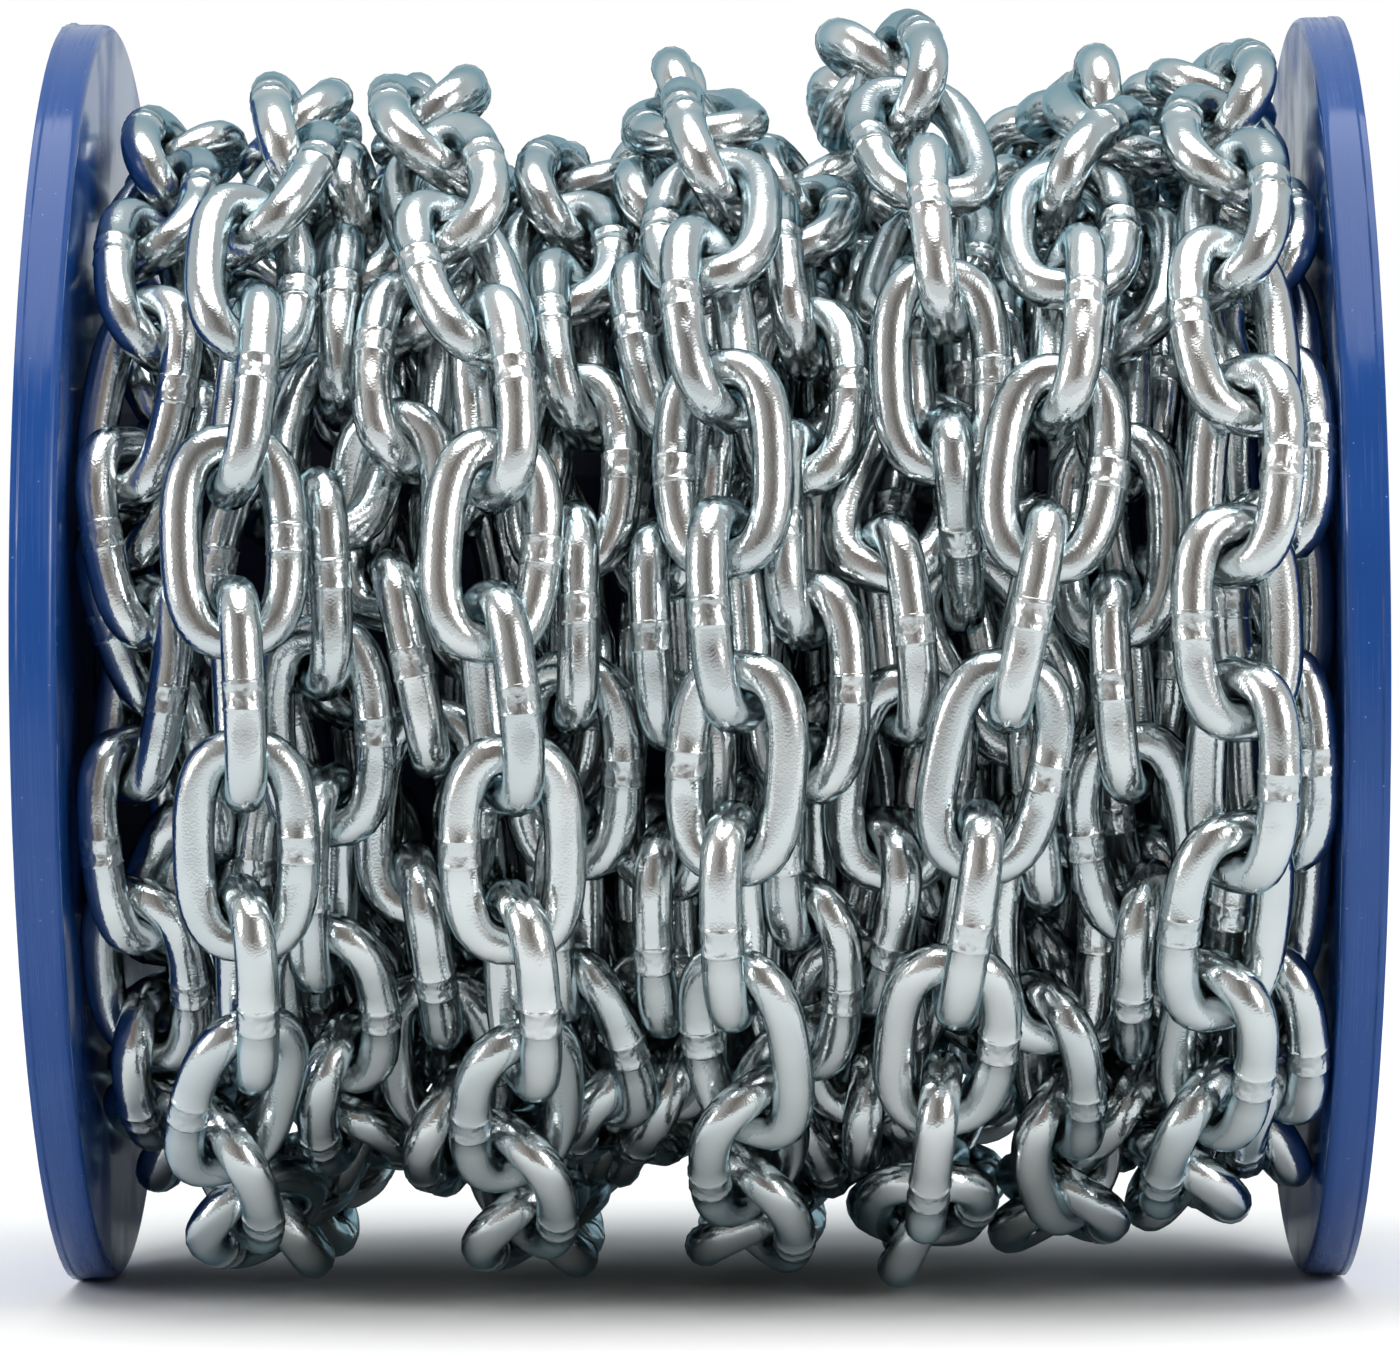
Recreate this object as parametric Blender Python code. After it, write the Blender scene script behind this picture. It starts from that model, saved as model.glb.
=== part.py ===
"""A reel of zinc plated steel chain.

Two moulded plastic flanges stand on a level floor and hold a drum between
them. The chain is wound on the drum in layers. The outer turns are real
links. The layers that they hide are one sleeve, and the second layer's links
that show between the outer turns are let into it.
Metres, +Z up, the reel's axis along X, the front of the reel towards -Y.
"""
import bisect
import math

import bmesh
import bpy
import numpy as np
from mathutils import Vector

# Chain: round wire bent to a link with two straight legs
WIRE = 0.0059
LINK_LENGTH = 0.0330
LINK_WIDTH = 0.0205
PITCH = LINK_LENGTH - 2 * WIRE
# Few sides, with a corner inward, so links that touch are let into each other
WIRE_SIDES = 4
SECTION_RADIUS = 0.0032
SECTION_LIFT = 0.0029
CORNERS = 8

# Reel
FLANGE_RADIUS = 0.095
FLANGE_SEGMENTS = 48
FLANGE_OUTSIDE = 0.0950
RIM_WIDTH = 0.0064
RIM_DEPTH = 0.0050
RIM_FILLET = 0.0016
WEB_OUTSIDE = 0.0918
HUB_RADIUS = 0.0300
SPINDLE_RADIUS = 0.0200
# The rim is a polygon that stands on a flat, so the axis is a little lower
AXIS_HEIGHT = FLANGE_RADIUS * math.cos(math.pi / FLANGE_SEGMENTS)
DRUM_RADIUS = 0.0400
DRUM_WALL = 0.0040
DRUM_SEGMENTS = 32
SEAT_GAP = 0.0003

# Sleeve of hidden chain: high under the second to fourth turns and under the
# last two, and low where a strand runs deeper
CORE_DEPTH = 0.0190
CORE_RIGHT_DEPTH = 0.0210
CORE_LOW = 0.0617
CORE_STEPS = (-0.0550, -0.0510, 0.0130, 0.0190)
CORE_RIGHT_STEPS = (0.0530, 0.0560)

# The outer chain is kept as short runs of fused links, with a little play
# where one run's last link passes through the next run's first
RUN_LINKS = 7
RUN_GAP = 0.0010

# How far the middle of the outer chain lies from the axis, by the angle
# above the front: close at the top, hanging away in front, pressed up below
WINDING = [
    (-270, 0.0790), (-235, 0.0900), (-210, 0.0975), (-180, 0.0988), (-150, 0.0990),
    (-130, 0.0960), (-115, 0.0905), (-105, 0.0864), (-90, 0.0828), (-75, 0.0864),
    (-65, 0.0912), (-50, 0.0985), (-30, 0.1010), (0, 0.0985), (20, 0.1000),
    (35, 0.0970), (57, 0.0875), (90, 0.0790),
]

# Each outer turn, left to right: x in millimetres of its front joints from
# the top down, which of them stands nearest the front, that joint's angle in
# degrees, the roll in degrees of the links at the top, in front and at the
# bottom (0 lies flat on the reel; every second link stands 90 more), and how
# many millimetres it lies above the winding, by the angle above the front
OUTER_TURNS = [
    {"angle": 2.0, "rolls": (58, 58, 50), "middle": 5,
     "lifts": [(-90, -9), (-60, -17), (0, -22), (60, -10), (90, -5)],
     "x": [-78.2, -78.4, -78.7, -79.0, -79.0, -79.0, -79.0, -79.0, -78.7, -78.4, -78.2]},
    {"angle": 2.6, "rolls": (45, 8, 40), "middle": 5, "lifts": [(-90, 0), (0, 0), (90, -3)],
     "x": [-60.0, -56.5, -61.5, -63.4, -64.7, -65.0, -64.1, -62.5, -64.1, -66.5, -64.6, -62.0]},
    {"angle": 2.2, "rolls": (50, 20, 40), "middle": 6, "lifts": [(-90, 0), (0, 0), (90, -1)],
     "x": [-41.5, -41.5, -37.5, -39.0, -28.5, -27.0, -28.0, -27.1, -26.3, -24.0, -26.4, -25.1, -23.0]},
    {"angle": -3.6, "rolls": (68, 68, 60), "middle": 6, "lifts": [(-90, 0), (0, 0), (90, -2)],
     "x": [-2.5, -1.5, 0.8, -0.2, 2.1, 3.5, 3.8, 6.0, 4.9, 6.2, 7.8, 6.5, 6.0]},
    {"angle": -3.9, "rolls": (95, 92, 90), "middle": 6, "lifts": [(-90, 0), (0, 0), (90, -1)],
     "x": [59.0, 58.8, 53.8, 52.7, 50.5, 47.5, 42.7, 38.1, 35.0, 33.2, 31.0, 29.5]},
    {"angle": -4.1, "rolls": (30, 30, 45), "middle": 6, "lifts": [(-90, -9), (-50, -4), (0, 0), (90, 2)],
     "x": [77.0, 77.0, 74.2, 72.7, 74.6, 72.1, 74.4, 75.1, 75.1, 70.4, 71.2, 68.2, 69.7, 74.3]},
]

# A shorter strand that rides over its neighbours at the top and dives under
# the fifth turn in front
CROSSING_TURNS = [
    {"angle": 21.0, "rolls": (45, 0, 20), "middle": 4,
     "lifts": [(-90, 0), (-55, -4), (-30, -12), (-5, -20.5), (10, -18), (25, -10), (45, -1), (65, 6), (90, 7)],
     "x": [26.0, 25.5, 29.0, 32.7, 33.8, 36.0, 41.0, 47.5, 50.5, 49.0, 52.0, 50.0, 51.3]},
]

# Strands of the second layer where they show between the outer turns, five in
# front and three behind
SECOND_LIFTS = [(-90, -14), (-50, -13), (0, -13), (50, -13), (90, -14)]
SECOND_TURNS = [
    {"angle": -0.4, "rolls": (60, 90, 60), "middle": 8, "lifts": SECOND_LIFTS,
     "x": [-51.0, -51.0, -50.0, -48.0, -48.0, -49.0, -50.0, -51.5, -51.5, -51.0, -50.0, -49.0, -47.5, -46.5]},
    {"angle": -9.5, "rolls": (60, 85, 60), "middle": 9, "lifts": SECOND_LIFTS,
     "x": [-29.0, -29.0, -29.0, -30.0, -33.0, -37.0, -40.0, -41.0, -39.5, -40.5, -40.0, -40.0, -40.0, -40.0]},
    {"angle": -4.0, "rolls": (70, 90, 60), "middle": 8, "lifts": SECOND_LIFTS,
     "x": [-16.0, -16.0, -16.0, -16.0, -16.0, -16.0, -15.5, -15.0, -15.0, -14.0, -13.0, -12.0, -11.0, -10.0]},
    {"angle": 4.7, "rolls": (60, 80, 50), "middle": 8, "lifts": SECOND_LIFTS,
     "x": [12.0, 12.0, 12.5, 13.0, 13.0, 14.0, 16.0, 17.0, 17.5, 18.5, 19.0, 19.0, 19.0, 19.0]},
    {"angle": -11.0, "rolls": (60, 70, 60), "middle": 9, "lifts": SECOND_LIFTS,
     "x": [68.0, 68.0, 67.0, 65.0, 63.0, 62.0, 60.0, 58.0, 59.0, 59.0, 58.5, 57.0, 55.0, 53.0]},
    {"angle": 176.0, "rolls": (60, 70, 60), "middle": 6, "lifts": SECOND_LIFTS,
     "x": [-43.0, -42.0, -40.0, -38.0, -36.0, -34.0, -32.0, -30.0, -28.0, -26.0, -24.0, -22.0]},
    {"angle": 183.0, "rolls": (60, 80, 60), "middle": 6, "lifts": SECOND_LIFTS,
     "x": [-8.0, -7.0, -5.0, -3.0, -1.0, 1.0, 3.0, 5.0, 7.0, 9.0, 10.0, 11.0]},
    {"angle": 180.0, "rolls": (60, 75, 60), "middle": 6, "lifts": SECOND_LIFTS,
     "x": [52.0, 54.0, 56.0, 58.0, 60.0, 61.5, 63.0, 64.5, 66.0, 67.5, 69.0, 70.0]},
]
# A link of the second layer is left out where its middle line would come
# closer than this to that of an outer link, where nothing carries it, and
# where it would lie alone
SECOND_CLEARANCE = 0.0065
SECOND_HOLD = 0.0010
LINE_POINTS = 24

# Where a length of chain comes up from the hidden layers behind the reel, and
# where it goes back to them: x in metres, the angle above the front, and lift
OUTER_ENDS = ((-0.0775, math.radians(115), -0.012), (0.0775, math.radians(-188), 0.0))
CROSSING_ENDS = ((0.0240, math.radians(166), -0.018), (0.0530, math.radians(-100), -0.004))
# Steps in which a path round the reel is measured
PATH_STEPS = 2000
SOLVE_ROUNDS = 8


def clear_scene():
    for item in list(bpy.data.objects):
        bpy.data.objects.remove(item, do_unlink=True)


def make_material(name, colour, metallic, roughness):
    material = bpy.data.materials.new(name)
    material.use_nodes = True
    shader = material.node_tree.nodes["Principled BSDF"]
    shader.inputs["Base Color"].default_value = (*colour, 1.0)
    shader.inputs["Metallic"].default_value = metallic
    shader.inputs["Roughness"].default_value = roughness
    return material


def object_from_bmesh(name, shape, material):
    mesh = bpy.data.meshes.new(name)
    shape.normal_update()
    shape.to_mesh(mesh)
    shape.free()
    mesh.materials.append(material)
    made = bpy.data.objects.new(name, mesh)
    bpy.context.scene.collection.objects.link(made)
    return made


def ring_angles(segments):
    """Angles above the front of a turned solid's corners, with a flat at the bottom."""
    return [2 * math.pi * (step + 0.5) / segments - math.pi / 2 for step in range(segments)]


def solid_of_rings(name, rings, material):
    """A closed solid round the axis from rings of (x, radius) points, one for each angle."""
    shape = bmesh.new()
    loops = []
    for angle, ring in zip(ring_angles(len(rings)), rings):
        loops.append([
            shape.verts.new((x, -r * math.cos(angle), AXIS_HEIGHT + r * math.sin(angle)))
            for x, r in ring
        ])
    for loop, following in zip(loops, loops[1:] + loops[:1]):
        for i in range(len(loop)):
            j = (i + 1) % len(loop)
            shape.faces.new((loop[i], loop[j], following[j], following[i]))
    bmesh.ops.recalc_face_normals(shape, faces=shape.faces)
    return object_from_bmesh(name, shape, material)


def turned_solid(name, profile, segments, material):
    return solid_of_rings(name, [profile] * segments, material)


def flange_profile(side):
    """Half section of a flange: rim, recessed web and hub."""
    inner = FLANGE_OUTSIDE - RIM_WIDTH
    points = [
        (FLANGE_OUTSIDE, SPINDLE_RADIUS),
        (FLANGE_OUTSIDE, HUB_RADIUS),
        (WEB_OUTSIDE, HUB_RADIUS),
        (WEB_OUTSIDE, FLANGE_RADIUS - RIM_DEPTH),
        (FLANGE_OUTSIDE, FLANGE_RADIUS - RIM_DEPTH),
        (FLANGE_OUTSIDE, FLANGE_RADIUS),
        (inner + RIM_FILLET, FLANGE_RADIUS),
        (inner, FLANGE_RADIUS - RIM_FILLET),
        (inner, SPINDLE_RADIUS),
    ]
    return [(side * x, r) for x, r in points]


def drum_profile():
    half = FLANGE_OUTSIDE - RIM_WIDTH - SEAT_GAP
    inside = DRUM_RADIUS - DRUM_WALL
    return [(-half, DRUM_RADIUS), (half, DRUM_RADIUS), (half, inside), (-half, inside)]


def core_ring(angle):
    """Section of the sleeve of hidden chain at an angle."""
    half = FLANGE_OUTSIDE - RIM_WIDTH - SEAT_GAP
    bore = DRUM_RADIUS + SEAT_GAP
    crest = max(winding_radius(angle) - CORE_DEPTH, CORE_LOW)
    right_crest = max(winding_radius(angle) - CORE_RIGHT_DEPTH, CORE_LOW)
    foot, rise, fall, end = CORE_STEPS
    right_foot, right_rise = CORE_RIGHT_STEPS
    return [
        (half, bore), (-half, bore), (-half, CORE_LOW), (foot, CORE_LOW),
        (rise, crest), (fall, crest), (end, CORE_LOW),
        (right_foot, CORE_LOW), (right_rise, right_crest), (half, right_crest),
    ]


def core_radius(x, angle):
    """Radius of the sleeve's outside at a place along the axis."""
    outside = sorted(core_ring(angle)[2:])
    return between_stops(outside, x)


def between_stops(stops, value):
    """Value at a place between (place, value) stops, which rise in place."""
    places = [place for place, _ in stops]
    i = min(max(bisect.bisect_right(places, value), 1), len(stops) - 1)
    (low, first), (high, last) = stops[i - 1], stops[i]
    return first + (last - first) * (value - low) / (high - low)


def winding_radius(angle):
    """Radius of the outer chain's middle at an angle above the front."""
    degrees = math.degrees(angle)
    while degrees > 90:
        degrees -= 360
    while degrees < -270:
        degrees += 360
    return between_stops(WINDING, degrees)


def joint_point(x, angle, lift):
    r = winding_radius(angle) + lift
    return Vector((x, -r * math.cos(angle), AXIS_HEIGHT + r * math.sin(angle)))


def turn_lift(turn, angle):
    """How far a turn lies above the winding, at an angle in front."""
    degrees = min(max(math.degrees(angle), -90), 90)
    return 0.001 * between_stops(turn["lifts"], degrees)


def neighbour_angle(turn, x0, angle0, x1, way):
    """The angle of the joint at x1 that lies one pitch from the joint at x0."""
    r0 = winding_radius(angle0) + turn_lift(turn, angle0)
    angle1 = angle0
    for _ in range(SOLVE_ROUNDS):
        r1 = winding_radius(angle1) + turn_lift(turn, angle1)
        cosine = (r0 * r0 + r1 * r1 + (x1 - x0) ** 2 - PITCH ** 2) / (2 * r0 * r1)
        angle1 = angle0 + way * math.acos(cosine)
    return angle1


def front_joints(turn, shift):
    """(x, angle, lift) of the joints seen from the front, from the top down."""
    xs = [0.001 * x for x in turn["x"]]
    middle = turn["middle"]
    angles = [0.0] * len(xs)
    angles[middle] = math.radians(turn["angle"])
    for i in range(middle - 1, -1, -1):
        angles[i] = neighbour_angle(turn, xs[i + 1], angles[i + 1], xs[i], 1)
    for i in range(middle + 1, len(xs)):
        angles[i] = neighbour_angle(turn, xs[i - 1], angles[i - 1], xs[i], -1)
    return [(x, angle + shift, turn_lift(turn, angle)) for x, angle in zip(xs, angles)]


def ease(part):
    return part * part * (3 - 2 * part)


def path_joints(start, end, whole):
    """Joints between two places: evenly spaced if whole, or else in full pitches from the start."""
    places = []
    for i in range(PATH_STEPS + 1):
        part = i / PATH_STEPS
        _, angle, lift = (a + (b - a) * part for a, b in zip(start, end))
        places.append((start[0] + (end[0] - start[0]) * ease(part), angle, lift))
    points = [joint_point(*place) for place in places]
    lengths = [0.0]
    for a, b in zip(points, points[1:]):
        lengths.append(lengths[-1] + (b - a).length)
    count = math.ceil(lengths[-1] / PITCH)
    spacing = lengths[-1] / count if whole else PITCH
    return [places[bisect.bisect_left(lengths, spacing * i)] for i in range(1, count)]


def front_rolls(turn):
    """Roll of each link between a turn's front joints, in degrees."""
    top, front, bottom = turn["rolls"]
    above = turn["middle"] - 1
    last = len(turn["x"]) - 2
    rolls = []
    for i in range(last + 1):
        if i <= above:
            base = top + (front - top) * i / above
        else:
            base = front + (bottom - front) * (i - above) / (last - above)
        rolls.append(base + 90 * (i - above))
    return rolls


def rolls_between(start, end, count):
    """Rolls of the links between two given ones: 90 more each time, and the rest as an even twist."""
    steps = count + 1
    spare = (end - start - 90 * steps + 90) % 180 - 90
    return [start + (90 + spare / steps) * i for i in range(1, steps)]


def strand(turns, ends):
    """Points of all joints of a length of chain in order, and the roll of each link in radians."""
    lead_in, tail = ends
    full_turn = 2 * math.pi
    joints = []
    rolls = []
    for number, turn in enumerate(turns):
        front = front_joints(turn, -number * full_turn)
        own_rolls = front_rolls(turn)
        if rolls:
            between = path_joints(joints[-1], front[0], True)
            rolls += rolls_between(rolls[-1], own_rolls[0], len(between) + 1)
        else:
            between = path_joints(front[0], lead_in, False)[::-1]
            rolls += [own_rolls[0] - 90 * i for i in range(len(between), 0, -1)]
        joints += between + front
        rolls += own_rolls
    x, angle, lift = tail
    tail = (x, angle - (len(turns) - 1) * full_turn, lift)
    between = path_joints(joints[-1], tail, False)
    joints += between
    rolls += [rolls[-1] + 90 * (i + 1) for i in range(len(between))]
    return [joint_point(*joint) for joint in joints], [math.radians(roll) for roll in rolls]


def outer_strands():
    return [strand(OUTER_TURNS, OUTER_ENDS), strand(CROSSING_TURNS, CROSSING_ENDS)]


def link_frame(start, end, roll):
    """Middle, length axis, width axis and face axis of the link between two joints."""
    middle = (start + end) / 2
    along = (end - start).normalized()
    outward = middle - Vector((middle.x, 0, AXIS_HEIGHT))
    outward -= along * outward.dot(along)
    outward.normalize()
    sideways = along.cross(outward)
    across = math.cos(roll) * sideways + math.sin(roll) * outward
    return middle, along, across, along.cross(across)


def add_link(shape, start, end, roll, reach_start, reach_end):
    """One closed link: its wire runs round its corners, each a mitred ring."""
    middle, along, across, facing = link_frame(start, end, roll)
    half = (end - start).length / 2
    top = half + reach_end
    foot = -half - reach_start
    side = (LINK_WIDTH - WIRE) / 2
    corner = side * math.tan(math.pi / CORNERS)
    shoulder = side - corner
    outline = [
        (top, -corner), (top, corner), (top - shoulder, side), (foot + shoulder, side),
        (foot, corner), (foot, -corner), (foot + shoulder, -side), (top - shoulder, -side),
    ]
    mitre = 1 / math.cos(math.pi / CORNERS)
    rings = []
    for k, (u, v) in enumerate(outline):
        # Inward direction in the link's plane, halving the corner
        before = Vector((outline[k - 1][0] - u, outline[k - 1][1] - v)).normalized()
        after = Vector((outline[(k + 1) % CORNERS][0] - u, outline[(k + 1) % CORNERS][1] - v)).normalized()
        inward = (before + after).normalized()
        ring = []
        for s in range(WIRE_SIDES):
            angle = 2 * math.pi * s / WIRE_SIDES
            push = SECTION_RADIUS * math.cos(angle) * mitre
            lift = SECTION_LIFT * math.sin(angle)
            place = middle + along * (u + inward.x * push) + across * (v + inward.y * push) + facing * lift
            ring.append(shape.verts.new(place))
        rings.append(ring)
    for k in range(CORNERS):
        ring, following = rings[k], rings[(k + 1) % CORNERS]
        for s in range(WIRE_SIDES):
            t = (s + 1) % WIRE_SIDES
            shape.faces.new((ring[s], ring[t], following[t], following[s]))


def links_object(name, links, material):
    shape = bmesh.new()
    for link in links:
        add_link(shape, *link)
    bmesh.ops.recalc_face_normals(shape, faces=shape.faces)
    return object_from_bmesh(name, shape, material)


def chain_piece(name, links, material):
    """A run of links fused where they touch: every second link, united with the rest."""
    piece = links_object(name, links[0::2], material)
    rest = links_object(name + "_rest", links[1::2], material)
    rest.hide_render = True
    rest.display_type = "WIRE"
    union = piece.modifiers.new("fuse", "BOOLEAN")
    union.operation = "UNION"
    union.solver = "EXACT"
    union.object = rest
    return piece


def link_line(start, end, roll):
    """Points along the middle of a link's wire."""
    middle, along, across, _ = link_frame(start, end, roll)
    side = (LINK_WIDTH - WIRE) / 2
    reach = (end - start).length / 2 + WIRE / 2 - side
    points = []
    for step in range(LINE_POINTS):
        angle = 2 * math.pi * (step + 0.5) / LINE_POINTS
        u = math.copysign(reach, math.cos(angle)) + side * math.cos(angle)
        points.append(middle + along * u + across * side * math.sin(angle))
        if step % (LINE_POINTS // 2) == LINE_POINTS // 4:
            for part in (-0.5, 0, 0.5):
                points.append(middle + along * reach * part + across * math.copysign(side, math.sin(angle)))
    return np.array(points)


def carried(line):
    """Whether a link reaches down into the sleeve."""
    for x, y, z in line:
        radius = math.hypot(y, z - AXIS_HEIGHT)
        angle = math.atan2(z - AXIS_HEIGHT, -y)
        if radius - WIRE / 2 < core_radius(x, angle) - SECOND_HOLD:
            return True
    return False


def second_layer_links():
    """Links of the second layer that keep clear of the outer ones, in series that the sleeve carries."""
    outer = []
    for points, rolls in outer_strands():
        outer += [link_line(*link) for link in zip(points, points[1:], rolls)]
    outer = np.concatenate(outer)
    chosen = []
    for turn in SECOND_TURNS:
        points = [joint_point(*joint) for joint in front_joints(turn, 0)]
        rolls = [math.radians(roll) for roll in front_rolls(turn)]
        series = []
        for link in list(zip(points, points[1:], rolls)) + [None]:
            line = link_line(*link) if link else None
            gaps = line[:, None] - outer[None] if link else None
            if link and math.sqrt((gaps ** 2).sum(-1).min()) > SECOND_CLEARANCE:
                series.append((link, line))
            else:
                if len(series) > 1 and any(carried(line) for _, line in series):
                    chosen.append([link for link, _ in series])
                series = []
    return chosen


def core_with_links(material):
    """The sleeve of hidden chain with the second layer's links fused to it."""
    core_rings = [core_ring(angle) for angle in ring_angles(DRUM_SEGMENTS)]
    core = solid_of_rings("chain_core", core_rings, material)
    reach = WIRE / 2
    for number, series in enumerate(second_layer_links()):
        links = [(start, end, roll, reach, reach) for start, end, roll in series]
        for parity in (0, 1):
            if not links[parity::2]:
                continue
            part = links_object("core_links_{}_{}".format(number, parity), links[parity::2], material)
            part.hide_render = True
            part.display_type = "WIRE"
            union = core.modifiers.new("fuse", "BOOLEAN")
            union.operation = "UNION"
            union.solver = "EXACT"
            union.object = part


def split_evenly(count, parts):
    """Start and end of each part when count things are split into parts."""
    cuts = [round(count * i / parts) for i in range(parts + 1)]
    return list(zip(cuts, cuts[1:]))


def chain_runs(material):
    """Both lengths of chain, each split into short runs."""
    fused = WIRE / 2
    loose = SECTION_RADIUS + RUN_GAP / 2
    run = 0
    for points, rolls in outer_strands():
        for first, last in split_evenly(len(rolls), round(len(rolls) / RUN_LINKS)):
            links = []
            for i in range(first, last):
                reach_start = loose if i == first else fused
                reach_end = loose if i == last - 1 else fused
                links.append((points[i], points[i + 1], rolls[i], reach_start, reach_end))
            run += 1
            chain_piece("chain_run_{:02d}".format(run), links, material)


def build():
    clear_scene()
    blue = make_material("blue_moulded_plastic", (0.016, 0.040, 0.180), 0.0, 0.35)
    board = make_material("drum_plastic", (0.020, 0.030, 0.080), 0.0, 0.5)
    zinc = make_material("zinc_plated_steel", (0.66, 0.70, 0.71), 1.0, 0.22)
    turned_solid("flange_left", flange_profile(-1), FLANGE_SEGMENTS, blue)
    turned_solid("flange_right", flange_profile(1), FLANGE_SEGMENTS, blue)
    turned_solid("drum", drum_profile(), DRUM_SEGMENTS, board)
    core_with_links(zinc)
    chain_runs(zinc)


build()
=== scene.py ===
"""Looks of a reel of zinc plated steel chain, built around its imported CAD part.

Every link of the chain is its own closed ring of wire. The links are laid
out in strands round the reel, settled against each other so that none cuts
another, and made by one geometry node tree. Metres, +Z up, axis along X,
the front of the reel towards -Y.
"""

import bisect
import math

import bmesh
import bpy
import numpy as np
from mathutils import Matrix, Vector


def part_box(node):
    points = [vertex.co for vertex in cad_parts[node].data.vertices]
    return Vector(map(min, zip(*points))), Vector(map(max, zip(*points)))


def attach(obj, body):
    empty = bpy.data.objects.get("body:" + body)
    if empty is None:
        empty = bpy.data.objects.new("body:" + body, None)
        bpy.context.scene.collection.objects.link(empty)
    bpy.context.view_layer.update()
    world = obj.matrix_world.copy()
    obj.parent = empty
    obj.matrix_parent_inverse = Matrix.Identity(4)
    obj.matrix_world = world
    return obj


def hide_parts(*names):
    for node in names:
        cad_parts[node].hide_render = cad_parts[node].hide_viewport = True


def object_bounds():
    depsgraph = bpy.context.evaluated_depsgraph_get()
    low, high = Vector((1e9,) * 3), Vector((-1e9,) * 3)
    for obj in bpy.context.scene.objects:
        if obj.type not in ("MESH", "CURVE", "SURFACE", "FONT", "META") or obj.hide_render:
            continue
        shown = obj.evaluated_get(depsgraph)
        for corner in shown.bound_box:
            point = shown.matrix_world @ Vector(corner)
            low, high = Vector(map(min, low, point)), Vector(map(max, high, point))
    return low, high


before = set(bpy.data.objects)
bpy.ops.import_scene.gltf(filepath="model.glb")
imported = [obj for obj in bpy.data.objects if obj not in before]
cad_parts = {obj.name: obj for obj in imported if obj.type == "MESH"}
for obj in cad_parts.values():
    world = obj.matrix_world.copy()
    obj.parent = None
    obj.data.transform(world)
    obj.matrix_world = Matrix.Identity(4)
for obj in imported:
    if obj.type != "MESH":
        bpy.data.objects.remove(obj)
cad_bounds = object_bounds()

MM = 0.001

# Chain: round wire with a welded joint in the middle of one straight leg
WIRE = 5.9 * MM
LINK_LENGTH = 33.0 * MM
LINK_WIDTH = 20.5 * MM
PITCH = LINK_LENGTH - 2 * WIRE
WELD_LENGTH = 3.7 * MM
# The wire at the weld and at its two seams against the wire elsewhere
WELD_SWELL = 1.01
WELD_MIDDLE_SWELL = 1.0201
SEAM_SWELL = 1.065
SEAM_WIDTH = 0.35 * MM
# A link's middle line is an oval: 2 would be an ellipse, more is squarer
OVAL_POWER = 2.8
# Where round that oval the welded leg ends
LEG_ANGLE = math.radians(76)

# Reel, as in the CAD part
rim_low, rim_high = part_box("flange_right")
drum_low, drum_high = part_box("drum")
AXIS_HEIGHT = (rim_low.z + rim_high.z) / 2
OUTSIDE = rim_high.x
INSIDE = rim_low.x
# A hair less than the axis is high, so that the round rim stays above the floor
RIM_RADIUS = AXIS_HEIGHT - 0.005 * MM
DRUM_RADIUS = (drum_high.z - drum_low.z) / 2
CHAIN_RUNS = [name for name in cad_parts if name.startswith("chain_run")]
# The first of them are the outer turns, and the rest the strand that crosses
OUTER_RUNS = 23

# How far the middle of the outermost chain lies from the axis, by the angle
# above the front: close at the top, hanging away in front, pressed up below
WINDING = [
    (-270, 79.0), (-235, 90.0), (-210, 97.5), (-180, 98.8), (-150, 99.0),
    (-130, 96.0), (-115, 90.5), (-105, 86.4), (-90, 82.8), (-75, 86.4),
    (-65, 91.2), (-50, 98.5), (-30, 101.0), (0, 98.5), (20, 100.0),
    (35, 97.0), (57, 87.5), (90, 79.0),
]

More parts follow.
